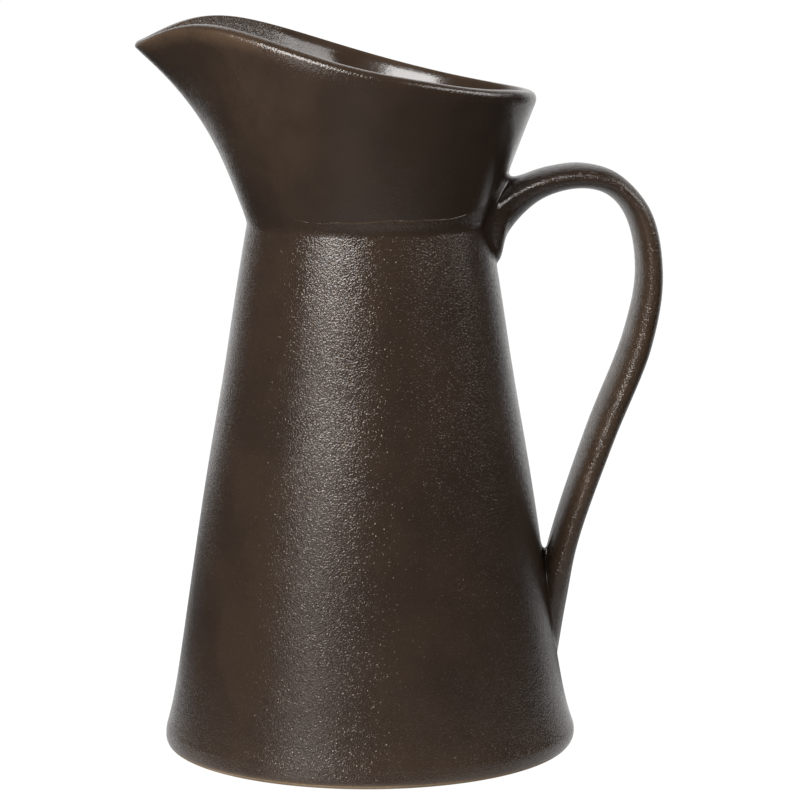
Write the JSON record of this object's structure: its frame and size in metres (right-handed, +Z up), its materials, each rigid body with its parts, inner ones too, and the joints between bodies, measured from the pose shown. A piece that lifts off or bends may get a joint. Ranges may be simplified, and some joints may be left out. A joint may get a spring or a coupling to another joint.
{
  "type": "jug",
  "caption": "Tall conical stoneware jug with a flared collar drawn out into a pouring lip and one loop handle, for serving drinks.",
  "frame": {"origin": "middle of the foot, on the table that the jug stands on", "axes": "+Z up the jug's axis, -X towards the pouring lip, +X towards the handle, mirror plane at Y = 0"},
  "size_m": [0.2027, 0.16, 0.2821],
  "materials": {
    "brown_glaze": "dark brown satin stoneware glaze with a fine orange-peel surface",
    "bare_clay": "unglazed tan stoneware"
  },
  "bodies": {
    "root": {"base_disc": "bare_clay", "body_wall": "brown_glaze", "floor_coil": "brown_glaze", "neck_seam": "brown_glaze", "neck_collar": "brown_glaze", "handle": "brown_glaze", "upper_handle_slip": "brown_glaze", "lower_handle_slip": "brown_glaze"}
  },
  "joints": []
}
